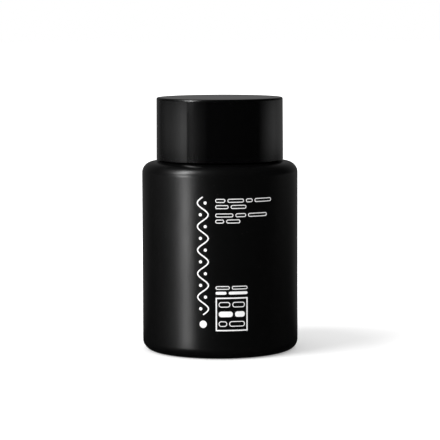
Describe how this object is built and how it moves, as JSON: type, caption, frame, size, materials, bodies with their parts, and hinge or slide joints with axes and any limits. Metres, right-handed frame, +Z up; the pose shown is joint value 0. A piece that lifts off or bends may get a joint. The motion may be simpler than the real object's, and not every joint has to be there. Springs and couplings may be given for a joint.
{
  "type": "nail polish remover sponge jar",
  "caption": "Round jar with a soaked foam sponge that takes a fingertip, closed by a smooth double-wall screw cap with a sealing wad.",
  "frame": {"origin": "centre of the flat ring that the jar stands on, on its axis", "axes": "+Z up along the jar's axis, -Y towards the front as seen in use, +X to the right of that view"},
  "size_m": [0.05, 0.05, 0.0811],
  "materials": {
    "jar_plastic": "fine satin, near black",
    "sponge_foam": "open-cell foam, off-white",
    "wad": "smooth closed-cell foam sheet",
    "insert_plastic": "as moulded",
    "cap_plastic": "polished, near black"
  },
  "bodies": {
    "jar": {"bottle": "jar_plastic", "sponge": "sponge_foam"},
    "wad": {"cap_liner": "wad"},
    "cap": {"cap_insert": "insert_plastic", "cap_shell": "cap_plastic"}
  },
  "joints": [
    {"name": "cap_lift", "type": "slide", "parent": "jar", "child": "wad", "axis": [0, 0, 1], "range_m": [0, 0.024]},
    {"name": "cap_turn", "type": "hinge", "parent": "wad", "child": "cap", "pos_m": [0, 0, 0.0612], "axis": [0, 0, 1], "range_deg": [0, 2160]}
  ],
  "couplings": [
    {"joint": "cap_lift", "follows": "cap_turn", "m_per_rad": 0.0006366}
  ]
}
